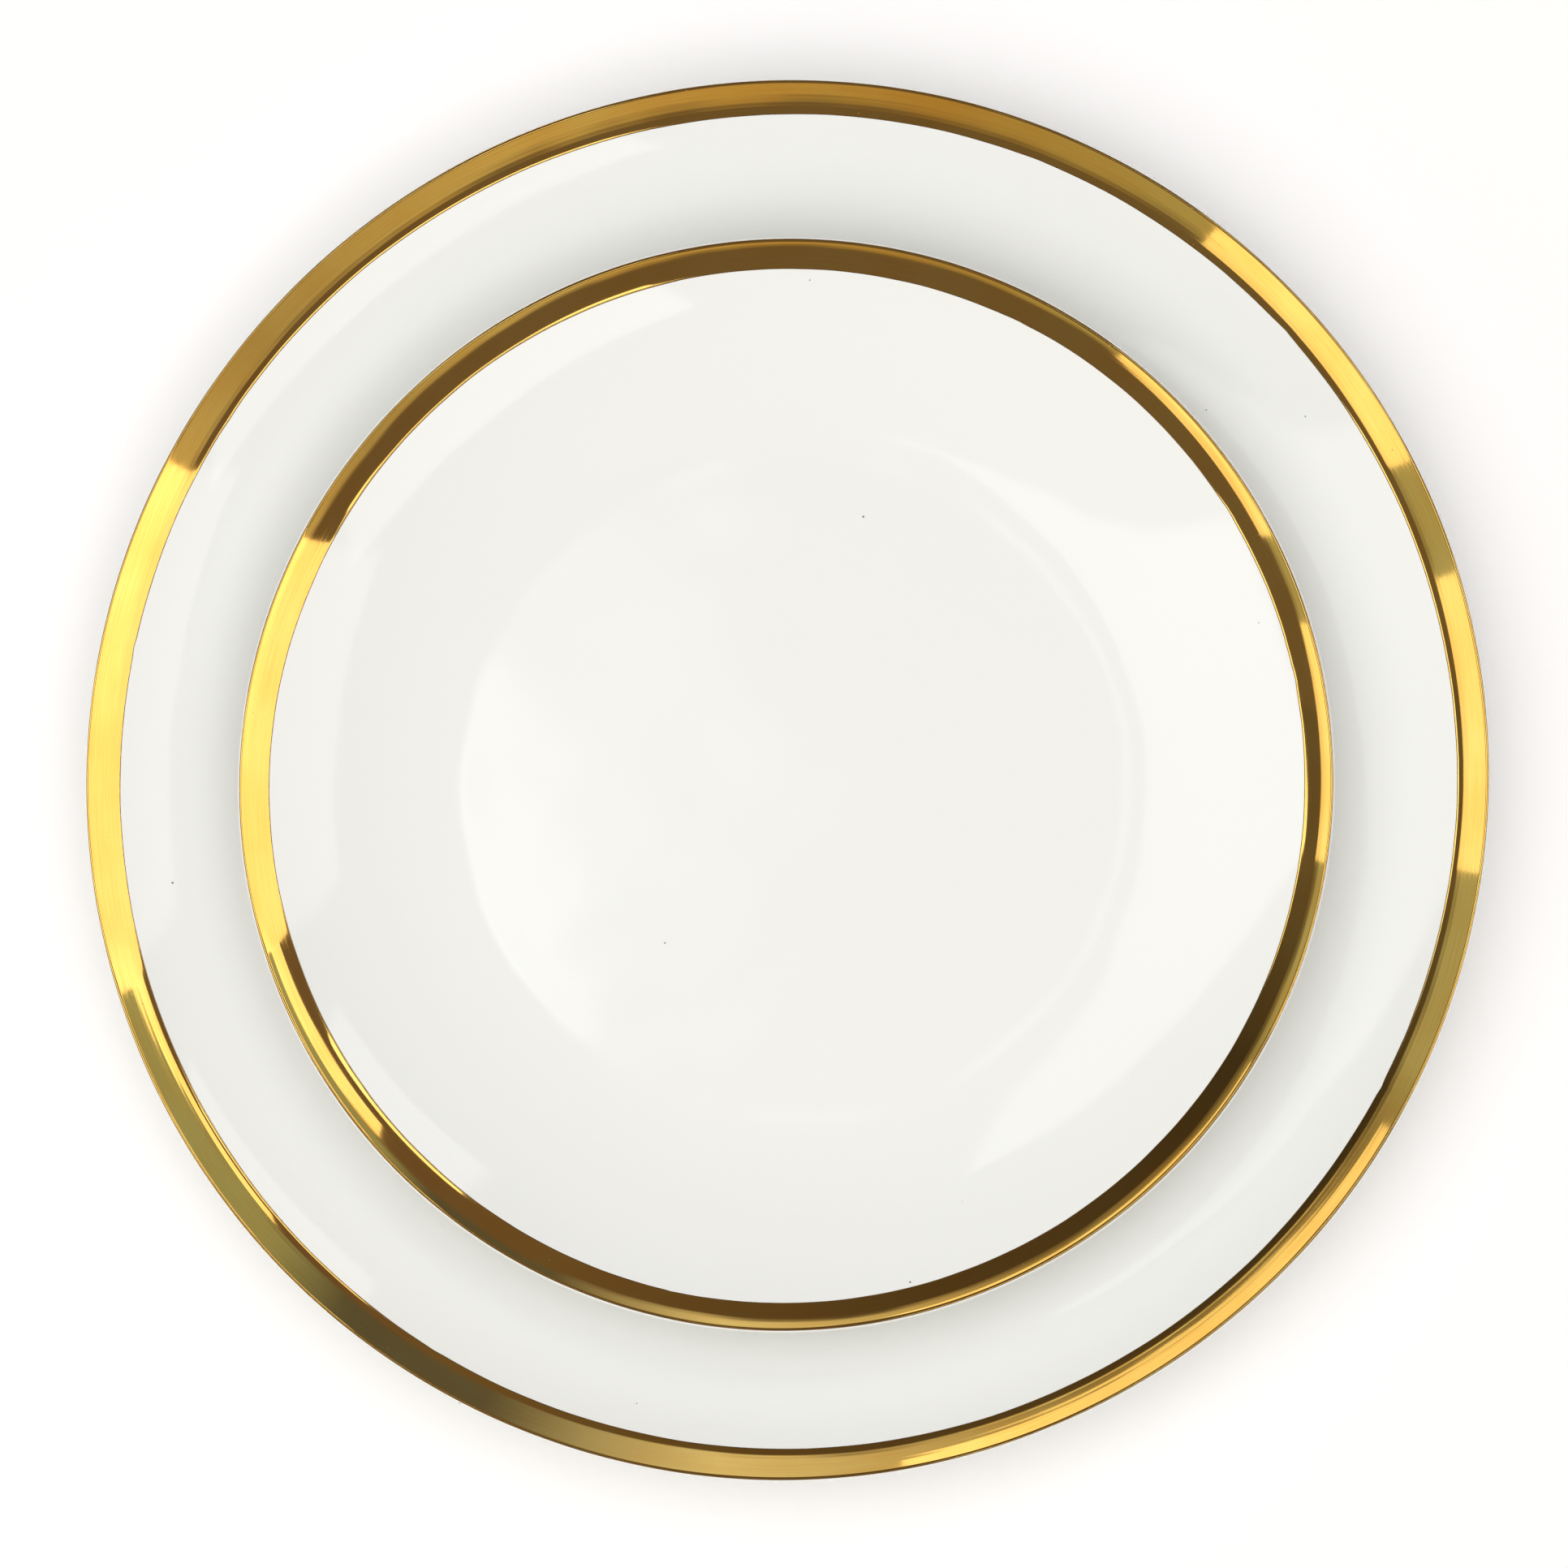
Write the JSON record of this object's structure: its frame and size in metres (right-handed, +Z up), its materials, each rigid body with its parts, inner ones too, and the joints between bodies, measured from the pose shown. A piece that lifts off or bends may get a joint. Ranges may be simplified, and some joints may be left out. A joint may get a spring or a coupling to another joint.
{
  "type": "dinner plate",
  "caption": "White porcelain coupe dinner plate with an upturned gold-banded rim and a matching salad plate standing loose in its well.",
  "frame": {"origin": "centre of the dinner plate's foot ring, on the table that it stands on", "axes": "+Z up along the dinner plate's axis; the plate is round, so +X and +Y are any two directions across it"},
  "size_m": [0.27, 0.27, 0.0246],
  "materials": {
    "glazed_porcelain": "gloss",
    "fired_gold": "polished"
  },
  "bodies": {
    "dinner_plate": {"dinner_plate_body": "glazed_porcelain", "dinner_plate_gold_band": "fired_gold"},
    "salad_plate": {"salad_plate_body": "glazed_porcelain", "salad_plate_gold_band": "fired_gold"}
  },
  "joints": [
    {"name": "salad_plate_lift", "type": "slide", "parent": "dinner_plate", "child": "salad_plate", "axis": [0, 0, 1], "range_m": [0, 0.12]}
  ]
}
